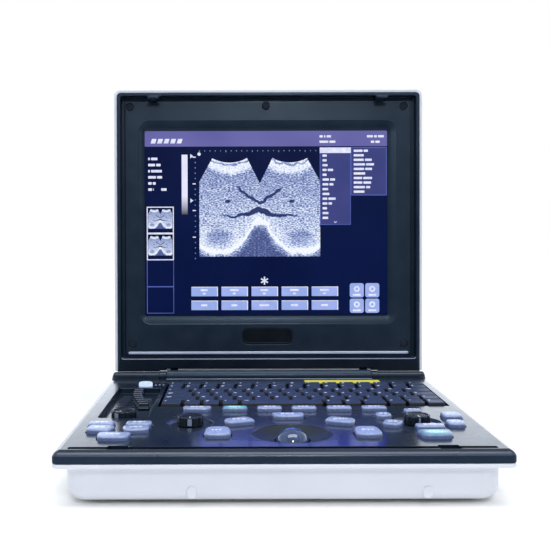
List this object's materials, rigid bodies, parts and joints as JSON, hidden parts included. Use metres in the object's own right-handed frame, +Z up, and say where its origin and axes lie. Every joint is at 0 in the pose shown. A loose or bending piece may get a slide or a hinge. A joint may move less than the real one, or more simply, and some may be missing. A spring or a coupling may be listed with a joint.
{
  "type": "portable ultrasound scanner",
  "caption": "Notebook-style ultrasound scanner: hinged lid with screen, base with keyboard, trackball, rubber keys, knobs and gain sliders.",
  "frame": {"origin": "middle of the footprint of the open scanner, on the table under its feet", "axes": "+Z up, +Y to the rear, towards the open lid, +X to the right of a user who faces the screen"},
  "size_m": [0.315, 0.3218, 0.3291],
  "materials": {
    "white_shell": "fine moulded texture, slightly blue white",
    "dark_shell": "dark blue-grey, semi-gloss",
    "keycap": "dark navy, satin, small pale marks",
    "silicone_key": "translucent pale lavender silicone",
    "black_plastic": "black, satin, fluted",
    "ball": "polished dark blue",
    "screen": "dark blue display glass",
    "latch": "black, satin",
    "steel": "plain pressed steel",
    "circuit_board": "green solder mask",
    "battery": "black shrink sleeve",
    "foot_rubber": "black, matt",
    "connector": "black, satin"
  },
  "bodies": {
    "base": {"base_bottom_case": "white_shell", "base_top_cover": "dark_shell", "foot_strip_front": "foot_rubber", "foot_strip_rear": "foot_rubber", "hinge_post_left": "steel", "hinge_post_right": "steel", "control_board": "circuit_board", "main_board": "circuit_board", "battery_pack": "battery", "connector_panel": "connector", "trackball_cup": "connector", "keyboard_frame": "dark_shell"},
    "lid": {"lid_back_cover": "white_shell", "lid_bezel": "dark_shell", "lcd_panel": "screen", "hinge_cover": "dark_shell", "hinge_bracket": "steel"},
    "latch": {"latch_bar": "latch"},
    "keyboard_row_1": {"keyboard_row_1": "keycap"},
    "keyboard_row_2": {"keyboard_row_2": "keycap"},
    "keyboard_row_3": {"keyboard_row_3": "keycap"},
    "keyboard_row_4": {"keyboard_row_4": "keycap"},
    "keyboard_row_5": {"keyboard_row_5": "keycap"},
    "keyboard_row_6": {"keyboard_row_6": "keycap"},
    "fan_key_1": {"fan_key_1": "silicone_key"},
    "fan_key_2": {"fan_key_2": "silicone_key"},
    "fan_key_3": {"fan_key_3": "silicone_key"},
    "fan_key_4": {"fan_key_4": "silicone_key"},
    "fan_key_5": {"fan_key_5": "silicone_key"},
    "row_key_1": {"row_key_1": "silicone_key"},
    "row_key_2": {"row_key_2": "silicone_key"},
    "row_key_3": {"row_key_3": "silicone_key"},
    "row_key_4": {"row_key_4": "silicone_key"},
    "row_key_5": {"row_key_5": "silicone_key"},
    "row_key_6": {"row_key_6": "silicone_key"},
    "arc_key_left": {"arc_key_left": "silicone_key"},
    "arc_key_middle": {"arc_key_middle": "silicone_key"},
    "arc_key_right": {"arc_key_right": "silicone_key"},
    "side_key_1": {"side_key_1": "silicone_key"},
    "side_key_2": {"side_key_2": "silicone_key"},
    "side_key_3": {"side_key_3": "silicone_key"},
    "side_key_4": {"side_key_4": "silicone_key"},
    "side_key_5": {"side_key_5": "silicone_key"},
    "side_key_6": {"side_key_6": "silicone_key"},
    "side_key_7": {"side_key_7": "silicone_key"},
    "ball_key_left": {"ball_key_left": "silicone_key"},
    "ball_key_right": {"ball_key_right": "silicone_key"},
    "power_button": {"power_button": "silicone_key"},
    "gain_knob": {"gain_knob": "black_plastic"},
    "left_knob": {"left_knob": "black_plastic"},
    "right_knob": {"right_knob": "black_plastic"},
    "gain_slider_1": {"gain_slider_1": "black_plastic"},
    "gain_slider_2": {"gain_slider_2": "black_plastic"},
    "gain_slider_3": {"gain_slider_3": "black_plastic"},
    "gain_slider_4": {"gain_slider_4": "black_plastic"},
    "gain_slider_5": {"gain_slider_5": "black_plastic"},
    "gain_slider_6": {"gain_slider_6": "black_plastic"},
    "gain_slider_7": {"gain_slider_7": "black_plastic"},
    "gain_slider_8": {"gain_slider_8": "black_plastic"},
    "trackball": {"trackball": "ball"}
  },
  "joints": [
    {"name": "lid_hinge", "type": "hinge", "parent": "base", "child": "lid", "pos_m": [0, 0.12611, 0.0425], "axis": [-1, 0, 0], "range_deg": [-92.5, 35]},
    {"name": "latch_slide", "type": "slide", "parent": "lid", "child": "latch", "axis": [1, 0, 0], "range_m": [0, 0.0032]},
    {"name": "keyboard_row_1_press", "type": "slide", "parent": "base", "child": "keyboard_row_1", "axis": [0, 0, -1], "range_m": [0, 0.0015], "stiffness_N_per_m": 600, "springref_m": -0.001},
    {"name": "keyboard_row_2_press", "type": "slide", "parent": "base", "child": "keyboard_row_2", "axis": [0, 0, -1], "range_m": [0, 0.0015], "stiffness_N_per_m": 600, "springref_m": -0.001},
    {"name": "keyboard_row_3_press", "type": "slide", "parent": "base", "child": "keyboard_row_3", "axis": [0, 0, -1], "range_m": [0, 0.0015], "stiffness_N_per_m": 600, "springref_m": -0.001},
    {"name": "keyboard_row_4_press", "type": "slide", "parent": "base", "child": "keyboard_row_4", "axis": [0, 0, -1], "range_m": [0, 0.0015], "stiffness_N_per_m": 600, "springref_m": -0.001},
    {"name": "keyboard_row_5_press", "type": "slide", "parent": "base", "child": "keyboard_row_5", "axis": [0, 0, -1], "range_m": [0, 0.0015], "stiffness_N_per_m": 600, "springref_m": -0.001},
    {"name": "keyboard_row_6_press", "type": "slide", "parent": "base", "child": "keyboard_row_6", "axis": [0, 0, -1], "range_m": [0, 0.0015], "stiffness_N_per_m": 600, "springref_m": -0.001},
    {"name": "fan_key_1_press", "type": "slide", "parent": "base", "child": "fan_key_1", "axis": [0, 0, -1], "range_m": [0, 0.0013], "stiffness_N_per_m": 300, "springref_m": -0.001},
    {"name": "fan_key_2_press", "type": "slide", "parent": "base", "child": "fan_key_2", "axis": [0, 0, -1], "range_m": [0, 0.0013], "stiffness_N_per_m": 300, "springref_m": -0.001},
    {"name": "fan_key_3_press", "type": "slide", "parent": "base", "child": "fan_key_3", "axis": [0, 0, -1], "range_m": [0, 0.0013], "stiffness_N_per_m": 300, "springref_m": -0.001},
    {"name": "fan_key_4_press", "type": "slide", "parent": "base", "child": "fan_key_4", "axis": [0, 0, -1], "range_m": [0, 0.0013], "stiffness_N_per_m": 300, "springref_m": -0.001},
    {"name": "fan_key_5_press", "type": "slide", "parent": "base", "child": "fan_key_5", "axis": [0, 0, -1], "range_m": [0, 0.0013], "stiffness_N_per_m": 300, "springref_m": -0.001},
    {"name": "row_key_1_press", "type": "slide", "parent": "base", "child": "row_key_1", "axis": [0, 0, -1], "range_m": [0, 0.0013], "stiffness_N_per_m": 300, "springref_m": -0.001},
    {"name": "row_key_2_press", "type": "slide", "parent": "base", "child": "row_key_2", "axis": [0, 0, -1], "range_m": [0, 0.0013], "stiffness_N_per_m": 300, "springref_m": -0.001},
    {"name": "row_key_3_press", "type": "slide", "parent": "base", "child": "row_key_3", "axis": [0, 0, -1], "range_m": [0, 0.0013], "stiffness_N_per_m": 300, "springref_m": -0.001},
    {"name": "row_key_4_press", "type": "slide", "parent": "base", "child": "row_key_4", "axis": [0, 0, -1], "range_m": [0, 0.0013], "stiffness_N_per_m": 300, "springref_m": -0.001},
    {"name": "row_key_5_press", "type": "slide", "parent": "base", "child": "row_key_5", "axis": [0, 0, -1], "range_m": [0, 0.0013], "stiffness_N_per_m": 300, "springref_m": -0.001},
    {"name": "row_key_6_press", "type": "slide", "parent": "base", "child": "row_key_6", "axis": [0, 0, -1], "range_m": [0, 0.0013], "stiffness_N_per_m": 300, "springref_m": -0.001},
    {"name": "arc_key_left_press", "type": "slide", "parent": "base", "child": "arc_key_left", "axis": [0, 0, -1], "range_m": [0, 0.0013], "stiffness_N_per_m": 300, "springref_m": -0.001},
    {"name": "arc_key_middle_press", "type": "slide", "parent": "base", "child": "arc_key_middle", "axis": [0, 0, -1], "range_m": [0, 0.0013], "stiffness_N_per_m": 300, "springref_m": -0.001},
    {"name": "arc_key_right_press", "type": "slide", "parent": "base", "child": "arc_key_right", "axis": [0, 0, -1], "range_m": [0, 0.0013], "stiffness_N_per_m": 300, "springref_m": -0.001},
    {"name": "side_key_1_press", "type": "slide", "parent": "base", "child": "side_key_1", "axis": [0, 0, -1], "range_m": [0, 0.0013], "stiffness_N_per_m": 300, "springref_m": -0.001},
    {"name": "side_key_2_press", "type": "slide", "parent": "base", "child": "side_key_2", "axis": [0, 0, -1], "range_m": [0, 0.0013], "stiffness_N_per_m": 300, "springref_m": -0.001},
    {"name": "side_key_3_press", "type": "slide", "parent": "base", "child": "side_key_3", "axis": [0, 0, -1], "range_m": [0, 0.0013], "stiffness_N_per_m": 300, "springref_m": -0.001},
    {"name": "side_key_4_press", "type": "slide", "parent": "base", "child": "side_key_4", "axis": [0, 0, -1], "range_m": [0, 0.0013], "stiffness_N_per_m": 300, "springref_m": -0.001},
    {"name": "side_key_5_press", "type": "slide", "parent": "base", "child": "side_key_5", "axis": [0, 0, -1], "range_m": [0, 0.0013], "stiffness_N_per_m": 300, "springref_m": -0.001},
    {"name": "side_key_6_press", "type": "slide", "parent": "base", "child": "side_key_6", "axis": [0, 0, -1], "range_m": [0, 0.0013], "stiffness_N_per_m": 300, "springref_m": -0.001},
    {"name": "side_key_7_press", "type": "slide", "parent": "base", "child": "side_key_7", "axis": [0, 0, -1], "range_m": [0, 0.0013], "stiffness_N_per_m": 300, "springref_m": -0.001},
    {"name": "ball_key_left_press", "type": "slide", "parent": "base", "child": "ball_key_left", "axis": [0, 0, -1], "range_m": [0, 0.0013], "stiffness_N_per_m": 300, "springref_m": -0.001},
    {"name": "ball_key_right_press", "type": "slide", "parent": "base", "child": "ball_key_right", "axis": [0, 0, -1], "range_m": [0, 0.0013], "stiffness_N_per_m": 300, "springref_m": -0.001},
    {"name": "power_button_press", "type": "slide", "parent": "base", "child": "power_button", "axis": [0, 0, -1], "range_m": [0, 0.001], "stiffness_N_per_m": 300, "springref_m": -0.001},
    {"name": "gain_knob_turn", "type": "hinge", "parent": "base", "child": "gain_knob", "pos_m": [-0.1228, -0.04689, 0.041], "axis": [0, 0, 1], "continuous": true},
    {"name": "left_knob_turn", "type": "hinge", "parent": "base", "child": "left_knob", "pos_m": [-0.0679, -0.07629, 0.041], "axis": [0, 0, 1], "continuous": true},
    {"name": "right_knob_turn", "type": "hinge", "parent": "base", "child": "right_knob", "pos_m": [0.1071, -0.07459, 0.041], "axis": [0, 0, 1], "continuous": true},
    {"name": "gain_slider_1_move", "type": "slide", "parent": "base", "child": "gain_slider_1", "axis": [1, 0, 0], "range_m": [-0.0238, 0.0033]},
    {"name": "gain_slider_2_move", "type": "slide", "parent": "base", "child": "gain_slider_2", "axis": [1, 0, 0], "range_m": [-0.02135, 0.00575]},
    {"name": "gain_slider_3_move", "type": "slide", "parent": "base", "child": "gain_slider_3", "axis": [1, 0, 0], "range_m": [-0.01903, 0.00807]},
    {"name": "gain_slider_4_move", "type": "slide", "parent": "base", "child": "gain_slider_4", "axis": [1, 0, 0], "range_m": [-0.01694, 0.01016]},
    {"name": "gain_slider_5_move", "type": "slide", "parent": "base", "child": "gain_slider_5", "axis": [1, 0, 0], "range_m": [-0.0152, 0.0119]},
    {"name": "gain_slider_6_move", "type": "slide", "parent": "base", "child": "gain_slider_6", "axis": [1, 0, 0], "range_m": [-0.01389, 0.01321]},
    {"name": "gain_slider_7_move", "type": "slide", "parent": "base", "child": "gain_slider_7", "axis": [1, 0, 0], "range_m": [-0.01308, 0.01402]},
    {"name": "gain_slider_8_move", "type": "slide", "parent": "base", "child": "gain_slider_8", "axis": [1, 0, 0], "range_m": [-0.0128, 0.0143]},
    {"name": "trackball_roll", "type": "hinge", "parent": "base", "child": "trackball", "pos_m": [0.0085, -0.11089, 0.0325], "axis": [1, 0, 0], "continuous": true}
  ]
}
